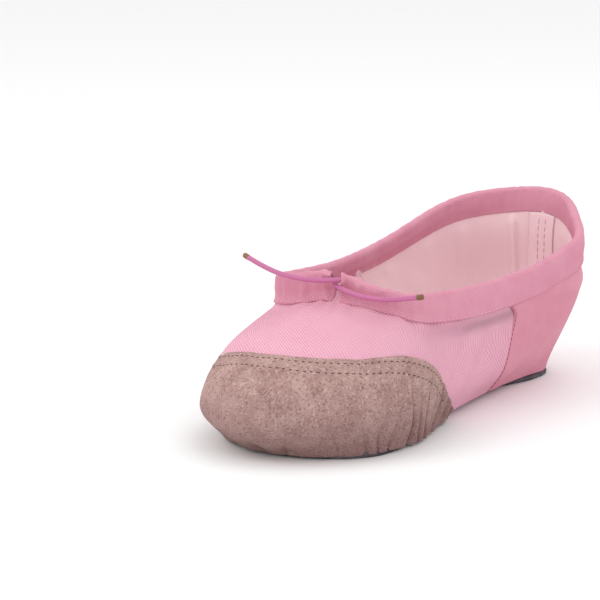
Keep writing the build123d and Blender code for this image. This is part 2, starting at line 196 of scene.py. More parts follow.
# How far the left side leans out at the throat and stands higher at the ankle.
none = [0.0] * 9
leanReach = [none, [0.0, -0.6, -0.6, 0.0, 0.0, 0.0, 0.0, 0.0, 0.0],
             [0.0, -2.6, -2.4, -0.8, 0.0, 0.0, 0.0, 0.0, 0.0],
             [0.0, 1.8, 2.2, 0.8, 0.0, 0.0, 0.0, 0.0, 0.0], [0.0, 2.2, 2.8, 1.2, 0.0, 0.0, 0.0, 0.0, 0.0]]
leanHeight = [none, none, none, [0.0, -1.8, -1.6, 0.0, 0.5, 0.8, 1.3, 2.0, 1.0],
              [0.0, 0.0, 0.0, 0.4, 0.8, 1.7, 2.8, 3.8, 2.0]]


def cubic(p0, p1, p2, p3, f):
    # Hermite cubic between p1 and p2 with slopes from the neighbours
    s1, s2 = (p2 - p0) / 2, (p3 - p1) / 2
    return ((2 * f**3 - 3 * f**2 + 1) * p1 + (f**3 - 2 * f**2 + f) * s1
            + (3 * f**2 - 2 * f**3) * p2 + (f**3 - f**2) * s2)


def alongStations(values, k, mirrored=1.0, endSum=0.0):
    row = np.array([mirrored * values[1], *values, endSum + mirrored * values[7]], float)
    i = np.clip(k.astype(int), 0, 7)
    return cubic(row[i], row[i + 1], row[i + 2], row[i + 3], k - i)


def upper(u, t):
    # point = (side*r*sin(turn), line - r*cos(turn), z); r and z run smoothly over k and t, mm
    u, t = np.broadcast_arrays(np.asarray(u, float), np.asarray(t, float))
    u = np.where(u > 16, u - 16, u)
    mirrored = (u < 0) | (u > 8)
    k = np.where(u < 0, -u, np.where(u > 8, 16 - u, u))
    side = np.where(mirrored, -1.0, 1.0)
    turn = np.radians(alongStations(turns, k, -1.0, 360.0))
    line = alongStations(lines, k)
    out = []
    lean = side * np.sin(turn)
    for table, leans in ((reaches, leanReach), (heights, leanHeight)):
        rows = np.array([alongStations(table[n], k) - lean * alongStations(leans[n], k) for n in range(5)])
        ends = np.concatenate([2 * rows[:1] - rows[1:2], rows, 2 * rows[4:] - rows[3:4]])
        i = np.clip(t.astype(int), 0, 3)
        pick = [np.take_along_axis(ends, (i + n)[None], 0)[0] for n in range(4)]
        out.append(cubic(*pick, t - i))
    r, z = out
    return np.stack([side * r * np.sin(turn), line - r * np.cos(turn), z], -1)


def normals(u, t):
    # unit normal: cross product of the slopes along u and along t
    e = 0.02
    n = np.cross(upper(u + e, t) - upper(u - e, t), upper(u, t + e) - upper(u, t - e))
    return n / np.linalg.norm(n, axis=-1, keepdims=True)


def offUpper(u, t, out):
    return upper(u, t) + normals(u, t) * np.asarray(out)[..., None]


def levelBelow(u, depth):
    # level at which the profile has dropped depth mm from the topline, for each u
    ts = np.linspace(4, 0, 161)
    grid = upper(u[None, :], ts[:, None])
    drop = np.concatenate([np.zeros((1, len(u))), np.cumsum(np.linalg.norm(np.diff(grid, axis=0), axis=2), 0)])
    return np.array([np.interp(depth if np.isscalar(depth) else depth[j], drop[:, j], ts)
                     for j in range(len(u))])


def bent(u, t):
    # u moved so that the side seams follow their curve: station 4.88 - 0.31*(t/3)^2
    mirrored = (u < 0) | (u > 8)
    k = np.where(u < 0, -u, np.where(u > 8, 16 - u, u))
    share = np.where(k <= 4.75, k / 4.75, (8 - k) / 3.25)
    moved = k + (0.13 - 0.31 * (t / 3) ** 2) * share
    return np.where(mirrored, np.where(u < 0, -moved, 16 - moved), moved)


def smoothStep(x, a, b):
    s = np.clip((x - a) / (b - a), 0, 1)
    return s * s * (3 - 2 * s)


def ripple(x, y, seed, size):
    # soft noise: a sum of eight plane waves of random heading, about size mm long
    rng = np.random.default_rng(seed)
    total = np.zeros(np.broadcast(x, y).shape)
    for _ in range(8):
        a, s, p = rng.uniform(0, 2 * np.pi), rng.uniform(0.6, 1.6) * size, rng.uniform(0, 2 * np.pi)
        total = total + np.sin(2 * np.pi * (x * np.cos(a) + y * np.sin(a)) / s + p)
    return total / 2.83


# ---- mesh helpers ----


def makeMesh(name, points, faces, uvs=None, smooth=True):
    mesh = bpy.data.meshes.new(name)
    mesh.from_pydata((np.asarray(points).reshape(-1, 3) * mm).tolist(), [], faces)
    if uvs is not None:
        layer = mesh.uv_layers.new(name="UVMap")
        loops = np.zeros(len(mesh.loops), int)
        mesh.loops.foreach_get("vertex_index", loops)
        layer.data.foreach_set("uv", (np.asarray(uvs).reshape(-1, 2)[loops] * mm).ravel())
    mesh.polygons.foreach_set("use_smooth", [smooth] * len(mesh.polygons))
    mesh.update()
    obj = bpy.data.objects.new(name, mesh)
    scene.collection.objects.link(obj)
    return obj


def gridFaces(rows, cols, closed=False):
    # quads of a rows x cols grid; closed joins the last column to the first
    i, j = np.meshgrid(np.arange(rows - 1), np.arange(cols if closed else cols - 1), indexing="ij")
    a, b = i * cols + j, i * cols + (j + 1) % cols
    return np.stack([a, b, b + cols, a + cols], -1).reshape(-1, 4).tolist()


def arcUv(grid, midColumn):
    # UV in mm: run along each row from the middle column, and run up the columns
    across = np.cumsum(np.linalg.norm(np.diff(grid, axis=1), axis=2), 1)
    across = np.concatenate([np.zeros((len(grid), 1)), across], 1)
    across -= across[:, midColumn:midColumn + 1]
    up = np.cumsum(np.linalg.norm(np.diff(grid, axis=0), axis=2), 0)
    up = np.concatenate([np.zeros((1, grid.shape[1])), up], 0)
    return np.stack([across, up - up[-1:]], -1)


def clothPiece(name, grid, thickness, midColumn=0, flat=None, body="slipper"):
    # a sheet from a grid of outer points, given its thickness inwards; the weave follows
    # the unfolded surface when that is given
    obj = makeMesh(name, grid, gridFaces(*grid.shape[:2]), arcUv(grid if flat is None else flat, midColumn))
    solid = obj.modifiers.new("thickness", "SOLIDIFY")
    solid.thickness = thickness * mm
    solid.offset = -1
    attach(obj, body)
    return obj


# ---- drawstring tails ----
cord = {"diameter": 1.9, "left": 0.0415, "right": 0.0375}
leftRoute = [(4.9, -45.1, 57.6), (0.3, -51.1, 57.4), (-9.3, -54.2, 57.8), (-21.7, -54.4, 59.1),
             (-33.4, -52.6, 62.3)]
rightRoute = [(1.5, -44.8, 55.2), (8.0, -47.7, 54.5), (17.0, -47.9, 53.0), (27.0, -45.0, 52.7),
              (35.8, -40.2, 54.2)]


def cordCurve(name, route, body):
    curve = bpy.data.curves.new(name, "CURVE")
    curve.dimensions = "3D"
    curve.bevel_depth = 1
    curve.bevel_resolution = 6
    curve.resolution_u = 24
    curve.use_fill_caps = True
    spline = curve.splines.new("NURBS")
    spline.points.add(len(route) - 1)
    for point, place in zip(spline.points, route):
        point.co = (*(v * mm for v in place), 1)
        point.radius = cord["diameter"] / 2 * mm
    spline.order_u = 3
    spline.use_endpoint_u = True
    obj = bpy.data.objects.new(name, curve)
    scene.collection.objects.link(obj)
    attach(obj, body)
    return obj


tails = {}
for side, route in (("left", leftRoute), ("right", rightRoute)):
    tails[side] = cordCurve("drawstringTail_" + side, route, side + "_tail")
    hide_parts("drawstring_tail_" + side)
print("cords made")

# ---- vamp and quarters ----
canvas = {"thickness": 0.8, "topLevel": 3.22, "rows": 72, "slack": 0.32, "tucks": ((3.0, 2.3), (7.0, 2.25))}


def tucked(u, t, out, tucks):
    # the wall, with rows turned in under the sole edge; each tuck is (inward, height)
    wall = offUpper(u, t, out)
    inwards = normals(u[0], t[0]) * np.array([1, 1, 0])
    inwards /= np.linalg.norm(inwards, axis=-1, keepdims=True)
    under = []
    for inward, z in tucks:
        row = wall[0] - inwards * inward
        row[:, 2] = z
        under.insert(0, row)
    return np.concatenate([np.array(under), wall])


def suedeEdge(u):
    # level 2.04 along the front, then falling to the sole; a little lower on the left
    k = np.abs(u)
    low = 0.26 * smoothStep(-u, 0.0, 0.9) * (1 - smoothStep(-u, 2.4, 3.4))
    return np.maximum(2.04 - low, 0) * (1 - np.clip((k - 1.5) / 2.35, 0, 1) ** 2)


def vampFolds(u, t):
    # slack in the cloth: long soft waves, gathers under the binding, creases at each side
    k = np.abs(u)
    place = upper(u, t)
    waves = canvas["slack"] * ripple(place[..., 0], place[..., 1], 3, 26)
    gather = 0.3 * np.sin(u * 9.5 + 1.4 * np.sin(u * 2.1)) * smoothStep(t, 2.2, 3.0) * (k < 3.6)
    gather = gather * (1 - smoothStep(t, 3.0, 3.15))
    crease = np.zeros_like(waves)
    for at, slope, wide, deep in ((3.5, 0.25, 0.09, -0.9), (3.8, 0.32, 0.13, 0.8), (4.15, 0.2, 0.10, -0.9),
                                  (4.4, 0.12, 0.10, 0.5), (2.9, 0.2, 0.12, -0.35)):
        centre = at + slope * (t - 1.4)
        crease += deep * np.exp(-((k - centre) / wide) ** 2) * np.exp(-((t - 1.3) / 0.8) ** 2)
    covered = -1.7 * smoothStep(suedeEdge(u) - t, 0.06, 0.2)
    return (waves * smoothStep(t, 0.0, 0.6) * (1 - smoothStep(t, 2.8, 3.1)) + gather + crease
            + covered * (np.abs(u) < suede["end"] + 0.3))


def quarterFolds(u, t):
    k = np.where(u > 8, 16 - u, u)
    place = upper(u, t)
    waves = 0.4 * ripple(place[..., 1], place[..., 2], 8, 24) * smoothStep(t, 0, 0.5)
    waves = waves * (1 - smoothStep(t, 2.7, 3.05))
    crease = np.zeros_like(waves)
    for at, slope, wide, deep in ((5.25, 0.2, 0.10, 0.6), (5.6, 0.25, 0.12, -0.5), (6.5, -0.1, 0.2, 0.5)):
        crease += deep * np.exp(-((k - at - slope * (t - 1.2)) / wide) ** 2) * np.exp(-((t - 1.0) / 0.7) ** 2)
    swell = 1.2 * np.exp(-((t - 2.5) / 0.28) ** 2) * smoothStep(k, 5.2, 6.4)
    return waves + crease + swell - 0.4 * np.exp(-((k - 8) / 0.06) ** 2)


def seamGroove(u, t):
    # the side seam pulls the cloth in along its line
    k = np.where(u < 0, -u, np.where(u > 8, 16 - u, u))
    return -0.45 * np.exp(-((k - (4.88 - 0.31 * (t / 3) ** 2)) / 0.035) ** 2)


suede = {"thickness": 0.65, "out": 0.95, "end": 3.66, "rows": 96, "columns": 620,
         "tucks": ((0.2, 1.3), (1.1, 0.9), (2.0, 1.5), (3.0, 2.3), (6.0, 2.3))}
spans = {"vamp": (-4.75, 4.75, 301), "left": (4.753, 7.995, 131), "right": (8.005, 11.247, 131)}


def clothGrid(first, last, count, rows, low):
    # rows from the given level up to just inside the binding's fold
    us = np.linspace(first, last, count)
    high = np.maximum(canvas["topLevel"], levelBelow(us, 8.0))
    t = low + (high - low)[None, :] * np.linspace(0, 1, rows)[:, None]
    u = np.broadcast_to(us[None, :], t.shape)
    return bent(u, t), t


def makeUpper():
    pieces = {}
    for name, span in spans.items():
        u, t = clothGrid(*span, canvas["rows"], 0)
        folds = vampFolds(u, t) if name == "vamp" else quarterFolds(u, t)
        grid = tucked(u, t, folds + seamGroove(u, t), canvas["tucks"])
        title = "vampCanvas" if name == "vamp" else "quarterCanvas_" + name
        flat = tucked(u, t, 0 * t, canvas["tucks"])
        pieces[name] = clothPiece(title, grid, canvas["thickness"], span[2] // 2, flat)
        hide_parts("vamp_canvas" if name == "vamp" else "quarter_canvas_" + name)
    return pieces


cloth = makeUpper()
print("canvas made")

# ---- lining ----
lining = {"depth": 1.0, "thickness": 0.5, "folds": ((8.47, 1.7, 0.05), (9.3, 1.0, 0.1), (9.9, 0.7, 0.12),
                                                    (7.1, 0.8, 0.08), (6.2, 0.5, 0.1), (10.8, 0.6, 0.09))}


def makeLining():
    made = {}
    for name, span in spans.items():
        u, t = clothGrid(*span, 60, 0.05)
        place = upper(u, t)
        slack = 0.25 * (1.6 + ripple(place[..., 1], place[..., 2], 15, 30)) * smoothStep(t, 0.1, 0.6)
        slack = slack * smoothStep(np.abs(u - 8), 0.2, 0.5)
        for at, deep, wide in lining["folds"]:
            slack = slack + deep * np.exp(-((u - at - 0.05 * (t - 2)) / wide) ** 2) * smoothStep(t, 0.5, 1.6)
        folds = vampFolds(u, t) if name == "vamp" else quarterFolds(u, t)
        run = np.cumsum(np.linalg.norm(np.diff(place, axis=0), axis=2)[::-1], 0)[::-1]
        below = 8.0 + np.concatenate([run, np.zeros((1, run.shape[1]))])
        ease = smoothStep(below, 10.5, 15.5)
        out = -lining["depth"] + np.minimum(folds + seamGroove(u, t), 0) - np.maximum(slack, 0) * ease
        title = "vampLining" if name == "vamp" else "quarterLining_" + name
        made[name] = clothPiece(title, offUpper(u, t, out), lining["thickness"], span[2] // 2)
        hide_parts("vamp_lining" if name == "vamp" else "quarter_lining_" + name)
    return made


linings = makeLining()

# ---- topline binding ----
fold = {"middle": -0.7, "flatHalf": 0.8, "cordHalf": 1.35, "cloth": 0.6, "insideDepth": 10.5,
        "gap": 3.2, "offset": 3.2}


def stationAtX(x):
    us = np.linspace(-1, 1, 801)
    return float(np.interp(x, upper(us, 4 + 0 * us)[:, 0], us))


casingStart = stationAtX(fold["offset"] + fold["gap"] / 2)
casingEnd = 16 + stationAtX(fold["offset"] - fold["gap"] / 2)


def bindingGrid():
    # rows go up the outer leg, round the top over the cord and down the inner leg;
    # the last columns at each mouth turn in and close round the cord
    turnIn = np.array([0.06, 0.03, 0.0])
    closing = np.array([0.04, 0.3, 0.72])
    body = np.linspace(casingStart, casingEnd, 760)
    us = np.concatenate([casingStart + turnIn, body, casingEnd - turnIn[::-1]])
    pinch = np.concatenate([closing, np.ones(len(body)), closing[::-1]])
    near = np.minimum(body - casingStart, casingEnd - body)
    pinch[3:-3] = 0.86 + 0.14 * smoothStep(near, 0, 0.08)
    k = np.abs(np.where(us > 8, 16 - us, us))
    total = fold["cordHalf"] + fold["cloth"]
    legTop, inner = levelBelow(us, total + 0.3), levelBelow(us, fold["insideDepth"])
    top, n = upper(us, 4 + 0 * us), normals(us, 3.99 + 0 * us)
    up = upper(us, 4 + 0 * us) - upper(us, 3.96 + 0 * us)
    up /= np.linalg.norm(up, axis=-1, keepdims=True)
    arc = np.concatenate([[0], np.cumsum(np.linalg.norm(np.diff(top, axis=0), axis=1))])
    front = np.exp(-(k / 1.9) ** 2)
    pucker = (0.16 + 0.5 * front) * np.sin(2 * np.pi * arc / 7.3 + 1.7 * np.sin(arc / 9.1))
    pucker += (0.12 + 0.3 * front) * np.sin(2 * np.pi * arc / 4.1 + 2.3 * np.sin(arc / 13.0))
    pinched = np.zeros_like(us)
    for at, wide, deep in ((8.47, 0.025, 0.9), (7.5, 0.02, 0.7), (9.6, 0.03, 0.7), (6.7, 0.03, 0.4),
                           (10.6, 0.03, 0.5)):
        pinched += deep * np.exp(-((us - at) / wide) ** 2)
    rows = []

    def leg(t, sign, weight, crease, drop=0.0):
        swell = np.clip((t - 3.25) / 0.35, 0, 1)
        swell = swell * swell * (3 - 2 * swell)
        half = fold["flatHalf"] + (fold["cordHalf"] - fold["flatHalf"]) * swell + fold["cloth"]
        out = half + np.maximum(pucker * weight, -0.5) - np.minimum(crease * pinched, 0.45)
        if sign < 0:
            out = out - 0.5 * smoothStep(drop, 5.0, 9.5)
        rows.append(offUpper(us, t, fold["middle"] + sign * out * pinch))

    for s in np.linspace(0, 1, 18):
        leg(3.0 + (legTop - 3.0) * s, 1, math.sin(math.pi * min(s, 0.75) / 1.1) * 0.9, 0.3 * s)
    for turn in np.radians(np.linspace(15, 165, 11)):
        out = fold["middle"] + (total + 0.5 * pucker * np.sin(turn)) * np.cos(turn) * pinch
        drop = total - (total + 0.35 * pucker) * np.sin(turn) + (1 - pinch) * 0.8 + 0.25 * pinched
        rows.append(top + n * out[:, None] - up * drop[:, None])
    for s in np.linspace(0, 1, 18):
        leg(legTop + (inner - legTop) * s, -1, 0.9 * math.cos(s * 1.2), 0.4 * (1 - s), 2.3 + 8.2 * s)
    grid = np.array(rows)
    rise = np.linalg.norm(np.diff(grid, axis=0), axis=2).mean(1)
    upRun = np.concatenate([[0], np.cumsum(rise)])
    flat = np.zeros_like(grid)
    flat[..., 0], flat[..., 1] = arc[None, :], upRun[:, None]
    return grid, flat


def makeBinding():
    grid, flat = bindingGrid()
    obj = clothPiece("toplineBinding", grid, fold["cloth"], 383, flat)
    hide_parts("topline_binding")
    return obj


binding = makeBinding()
print("binding made")

# ---- suede toe patch ----


def puffs(u, t):
    # gathers drawn into the sole: round puffs between sharp troughs, dying out upwards
    rng = np.random.default_rng(21)
    troughs = [-3.7]
    while troughs[-1] < 3.7:
        wide = 0.36 if abs(troughs[-1]) < 0.9 else 0.27
        troughs.append(troughs[-1] + rng.uniform(0.55, 1.35) * wide)
    troughs = np.array(troughs)
    count = len(troughs) - 1
    tall = rng.uniform(0.5, 1.15, count + 1)
    puffy = rng.uniform(0.7, 1.25, count)
    v = u + 0.05 * np.sin(3.1 * t + 5 * u)
    i = np.clip(np.searchsorted(troughs, v) - 1, 0, count - 1)
    across = np.clip((v - troughs[i]) / (troughs[i + 1] - troughs[i]), 0, 1)
    arch = np.sqrt(np.clip(1 - (2 * across - 1) ** 2, 0, 1))
    strong = 0.75 + 0.9 * smoothStep(u, 1.2, 2.4)
    fadeAt = np.where(across < 0.5, tall[i], tall[i + 1]) * (0.8 + 0.5 * smoothStep(u, 0.8, 2.2))
    mid = (tall[i] + tall[i + 1]) / 2
    height = mid + (fadeAt - mid) * np.abs(2 * across - 1) ** 2
    return strong * puffy[i] * (arch - 0.7) * np.exp(-(t / height) ** 2) * 2.3


def suedeSurface(u, t):
    place = upper(u, t)
    s = t / np.maximum(suedeEdge(u), 0.05)
    wave = 0.28 * ripple(place[..., 0], place[..., 1], 5, 17) * smoothStep(s, 0, 0.3)
    rim = 0.3 * np.exp(-((1 - s) / 0.03) ** 2)
    bare = canvas["slack"] * ripple(place[..., 0], place[..., 1], 3, 26) * smoothStep(t, 0.0, 0.6)
    slim = 1.0 * smoothStep(-u, 0.2, 1.0)
    return np.maximum(suede["out"] - slim + wave + puffs(u, t) + bare - rim, -0.6)


def makeSuede():
    us = np.linspace(-suede["end"], suede["end"], suede["columns"])
    ss = np.linspace(0, 1, suede["rows"]) ** 1.15
    u = np.broadcast_to(us[None, :], (len(ss), len(us)))
    t = ss[:, None] * suedeEdge(us)[None, :]
    grid = tucked(u, t, suedeSurface(u, t), suede["tucks"])
    obj = clothPiece("toePatchSuede", grid, suede["thickness"], suede["columns"] // 2)
    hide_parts("toe_patch")
    return obj


toePatch = makeSuede()
print("suede made")

# ---- soles, base and insole ----
padPoints = {
    "front": [(0, toeLine - 54.5), (15.5, toeLine - 51.5), (29.5, toeLine - 43.5), (36.8, toeLine - 31),
              (36.0, toeLine - 16), (29.5, toeLine + 1), (17.5, toeLine + 12.5), (0, toeLine + 16.5)],
    "heel": [(0, heelLine - 28), (10.5, heelLine - 22.5), (16.2, heelLine - 11), (18.3, heelLine + 2),
             (15.0, heelLine + 15), (0, heelLine + 22.5)]}


def closedOutline(points, count):
    # smooth closed curve through the points and their mirror images
    half = np.array(points, float)
    loop = np.concatenate([half, (half[1:-1] * [-1, 1])[::-1]])
    n = len(loop)
    s = np.linspace(0, n, count, endpoint=False)
    i = s.astype(int)
    return cubic(loop[i - 1], loop[i % n], loop[(i + 1) % n], loop[(i + 2) % n], (s - i)[:, None])


def padPiece(name, outline, rings):
    # closed slab: the outline moved in by each ring's inset, at each ring's height
    ahead, behind = np.roll(outline, -1, 0), np.roll(outline, 1, 0)
    along = ahead - behind
    inward = np.stack([-along[:, 1], along[:, 0]], -1)
    inward /= np.linalg.norm(inward, axis=1, keepdims=True)
    centre = outline.mean(0)
    inward *= np.sign(((centre - outline) * inward).sum(1))[:, None]
    count = len(outline)
    points, uvs = [], []
    for inset, z in rings:
        ring = outline + inward * inset
        points.append(np.column_stack([ring, np.full(count, z)]))
        uvs.append(ring)
    points, uvs = np.concatenate(points), np.concatenate(uvs)
    faces = gridFaces(len(rings), count, closed=True)
    faces += [list(range(count))[::-1], list(range((len(rings) - 1) * count, len(rings) * count))]
    obj = makeMesh(name, points, faces, uvs)
    fixNormals(obj)
    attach(obj, "slipper")
    return obj


def fixNormals(obj):
    bm = bmesh.new()
    bm.from_mesh(obj.data)
    bmesh.ops.remove_doubles(bm, verts=bm.verts, dist=1e-6)
    bmesh.ops.recalc_face_normals(bm, faces=bm.faces)
    bm.to_mesh(obj.data)
    bm.free()


def soleOutline(inset, count=160):
    us = np.linspace(0, 16, count, endpoint=False)
    edge = upper(us, 0 * us)[:, :2]
    inwards = (normals(us, 0 * us) * np.array([1, 1, 0]))[:, :2]
    inwards /= np.linalg.norm(inwards, axis=-1, keepdims=True)
    return edge - inwards * inset


soles = {}
for name, node in (("front", "front_outsole"), ("heel", "heel_outsole")):
    rings = [(5.0, 0.02), (4.4, 0.02), (4.2, 0.55), (3.2, 0.55), (3.0, 0.02), (0.6, 0.02), (0.15, 0.25),
             (0.0, 0.7), (0.0, 1.6), (0.2, 2.05), (0.7, 2.2), (6.0, 2.2)]
    soles[name] = padPiece(name + "Outsole", closedOutline(padPoints[name], 180), rings)
    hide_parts(node)
base = padPiece("archCanvas", soleOutline(2.0), [(6.0, 2.3), (0.4, 2.3), (0.0, 2.6), (0.2, 3.0), (6.0, 3.05)])
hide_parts("base_canvas")
insoleRings = [(6.0, 5.3), (0.5, 5.3), (0.0, 5.5), (0.4, 5.8), (3.0, 5.95), (9.0, 6.0)]
insole = padPiece("insoleCover", soleOutline(1.7), insoleRings)
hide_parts("insole_cover")

# ---- seam tape inside the heel ----


def makeTape():
    half = 12.5 / 2
    ks = np.linspace(7, 8, 200)
    k = float(np.interp(-half, -upper(ks, 2.0 + 0 * ks)[:, 0], ks))
    us = np.linspace(k, 16 - k, 25)
    high = levelBelow(us, 10.7)
    ts = 0.7 + (high - 0.7)[None, :] * np.linspace(0, 1, 40)[:, None]
    obj = clothPiece("backSeamTape", offUpper(us[None, :], ts, -1.75 + 0 * ts), 0.5, 12)
    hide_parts("back_seam_tape")
    return obj


tape = makeTape()

# ---- stitches ----


def capsule():
    # a short rounded bar along x, 1 long and 1 wide
    a = np.linspace(0, 2 * np.pi, 6, endpoint=False)
    rings = [(-0.5, 0.15), (-0.36, 0.42), (0.0, 0.5), (0.36, 0.42), (0.5, 0.15)]
    points = np.array([[x, r * math.cos(v), r * math.sin(v)] for x, r in rings for v in a])
    faces = gridFaces(len(rings), 6, closed=True)
    faces += [list(range(6))[::-1], list(range(24, 30))]
    return points, faces


def stitchRow(name, spots, alongs, outs, length, width, node, body="slipper"):
    # one capsule per spot: its x axis along the seam, its z axis out of the cloth
    points, faces = capsule()
    alongs = alongs / np.linalg.norm(alongs, axis=1, keepdims=True)
    across = np.cross(outs, alongs)
    across /= np.linalg.norm(across, axis=1, keepdims=True)
    outs = np.cross(alongs, across)
    shaped = points * [length, width, width * 0.75]
    placed = (spots[:, None] + shaped[None, :, :1] * alongs[:, None] + shaped[None, :, 1:2] * across[:, None]
              + shaped[None, :, 2:] * outs[:, None])
    count = len(points)
    allFaces = [[v + n * count for v in face] for n in range(len(spots)) for face in faces]
    obj = makeMesh(name, placed, allFaces)
    fixNormals(obj)
    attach(obj, body)
    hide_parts(node)
    return obj


def evenly(line, pitch):
    # positions along a polyline at equal pitch, as fractional indices
    run = np.concatenate([[0], np.cumsum(np.linalg.norm(np.diff(line, axis=0), axis=1))])
    wanted = np.arange(pitch / 2, run[-1], pitch)
    return np.interp(wanted, run, np.arange(len(line)))


def rowAlong(name, us, ts, out, pitch, length, width, node):
    line = offUpper(us, ts, out)
    at = evenly(line, pitch)
    u, t = np.interp(at, np.arange(len(us)), us), np.interp(at, np.arange(len(ts)), ts)
    o = np.interp(at, np.arange(len(us)), out)
    spots = offUpper(u, t, o)
    ahead = np.minimum(at + 0.5, len(us) - 1)
    behind = np.maximum(at - 0.5, 0)

    def sample(where):
        return np.stack([np.interp(where, np.arange(len(us)), line[:, c]) for c in range(3)], -1)

    return stitchRow(name, spots, sample(ahead) - sample(behind), normals(u, t), length, width, node)


threads = []
for name, distance, node in (("toePatchUpperStitches", 2.2, "toe_patch_upper_stitches"),
                             ("toePatchLowerStitches", 6.6, "toe_patch_lower_stitches")):
    us = np.linspace(-3.15, 3.15, 300)
    edge = suedeEdge(us)
    rise = np.linalg.norm(upper(us, edge) - upper(us, edge - 0.1), axis=-1) / 0.1
    ts = edge - distance / rise
    threads.append(rowAlong(name, us, ts, suedeSurface(us, ts) + 0.02, 2.5, 1.15, 0.45, node))

us = np.linspace(casingStart + 0.05, casingEnd - 0.05, 900)
out = np.full_like(us, fold["middle"] + fold["flatHalf"] + fold["cloth"] + 0.1)
edgeStitches = rowAlong("bindingStitches", us, 3.07 + 0 * us, out, 2.4, 1.5, 0.4, "binding_stitches")
seamStitches = []
for name, away in (("left", 0), ("right", 16)):
    ts = np.linspace(0.1, 2.95, 120)
    us = np.abs(away - (4.88 - 0.31 * (ts / 3) ** 2 + 0.03))
    seamStitches.append(rowAlong("sideSeamStitches_" + name, us, ts,
                                 quarterFolds(us, ts) + seamGroove(us, ts) + 0.08, 2.2, 1.7, 0.4,
                                 "side_seam_stitches_" + name))
ts = np.linspace(0.85, float(levelBelow(np.array([8.0]), 12.0)[0]), 100)
line = offUpper(8 + 0 * ts, ts, -2.33 + 0 * ts)
at = evenly(line, 3.0)
centres = np.stack([np.interp(at, np.arange(100), line[:, c]) for c in range(3)], -1)
ups = np.stack([np.interp(at, np.arange(100), np.gradient(line[:, c])) for c in range(3)], -1)
spots = np.concatenate([centres + [shift * 3.2, 0, 0] for shift in (-1.5, -0.5, 0.5, 1.5)])
backStitches = stitchRow("backSeamStitches", spots, np.tile(ups, (4, 1)),
                         np.tile([0.0, -1.0, 0.0], (len(spots), 1)), 2.2, 0.4, "back_seam_stitches")
for name, node in (("front", "front_outsole_stitches"), ("heel", "heel_outsole_stitches")):
    outline = closedOutline(padPoints[name], 400)
    along = np.roll(outline, -1, 0) - np.roll(outline, 1, 0)
    inward = np.stack([-along[:, 1], along[:, 0]], -1)
    inward /= np.linalg.norm(inward, axis=1, keepdims=True)
    inward *= np.sign(((outline.mean(0) - outline) * inward).sum(1))[:, None]
    path = np.column_stack([outline + inward * 3.7, np.full(400, 0.38)])
    at = evenly(path, 4.0)
    spots = np.stack([np.interp(at, np.arange(400), path[:, c]) for c in range(3)], -1)
    alongs = np.stack([np.interp(at, np.arange(400), along[:, c]) for c in range(2)] + [0 * at], -1)
    threads.append(stitchRow(name + "OutsoleStitches", spots, alongs,
                             np.tile([0.0, 0.0, -1.0], (len(spots), 1)), 2.6, 0.5, node))
print("stitches made")

# ---- materials ----
# Cotton canvas, plain woven: coarse threads a little under 1 mm apart, pale and matt.
vampCloth = clothMaterial("cottonCanvas_plainWoven", "#f9c9d7", "#d483a0", 0.95 * mm, 0.6, 0.3 * mm, 0.1,
                          "#f6c6d4", 60, weaveShow=0.9)
# Cotton drill, close woven: finer than the canvas and duskier, so it reads smoother.
quarterCloth = clothMaterial("cottonDrill_closeWoven", "#da94a6", "#b0647c", 0.6 * mm, 0.785, 0.08 * mm, 0.1,
                             "#f3c3cf", 40, weaveShow=0.35)
# Cotton tape, twill folded over the cord.
tapeCloth = clothMaterial("cottonTape_folded", "#e6a3b6", "#b96583", 0.8 * mm, 0.785, 0.2 * mm, 0.1,
                          "#eebfca", 70, weaveShow=0.7)
# Cotton lining, thin plain weave, undyed pinkish cream.
liningCloth = clothMaterial("cottonLining_plainWoven", "#efd0d4", "#d6acb5", 0.6 * mm, 0.0, 0.06 * mm, 0.1,
                            "#f3dcdc", 35, weaveShow=0.3)


def suedeMaterial():
    # Split suede, brushed: short nap that clouds light and dark, with pale and dark fibres.
    mat = newMaterial("splitSuede_brushed")
    place = add(mat, "ShaderNodeTexCoord")
    cloud = add(mat, "ShaderNodeTexNoise", {"Vector": (place, 3)},
                inputs={"Scale": 110.0, "Detail": 5.0, "Roughness": 0.65})
    nap = add(mat, "ShaderNodeTexNoise", {"Vector": (place, 3)},
              inputs={"Scale": 1100.0, "Detail": 3.0, "Roughness": 0.75})
    hair = add(mat, "ShaderNodeTexNoise", {"Vector": (place, 3)},
               inputs={"Scale": 750.0, "Detail": 2.0, "Distortion": 1.5})
    level = add(mat, "ShaderNodeMapRange", {"Value": cloud}, inputs={"From Min": 0.32, "From Max": 0.68})
    base = mixColour(mat, level, "#9f7d78", "#be9d97")
    dark = add(mat, "ShaderNodeMapRange", {"Value": nap},
               inputs={"From Min": 0.52, "From Max": 0.64, "To Max": 0.75})
    base = mixColour(mat, dark, base, "#6e4f4c")
    pale = add(mat, "ShaderNodeMapRange", {"Value": hair},
               inputs={"From Min": 0.56, "From Max": 0.66, "To Max": 0.6})
    base = mixColour(mat, pale, base, "#cfb4ae")
    # painted shade: the suede is mixed up to half with #6d5050 from 26 mm down to 4 mm above the floor, for
    # the shade that falls on its lower part
    axes = add(mat, "ShaderNodeSeparateXYZ", {"Vector": (place, 3)})
    paintedLowShade = add(mat, "ShaderNodeMapRange", {"Value": (axes, 2)},
               inputs={"From Min": 0.004, "From Max": 0.026, "To Min": 0.5, "To Max": 0.0})
    base = mixColour(mat, paintedLowShade, base, "#6d5050")
    return finishSurface(mat, base, nap, 0.95, 0.5 * mm, 0.9, 0.2, "#c9aea8", 0.1)


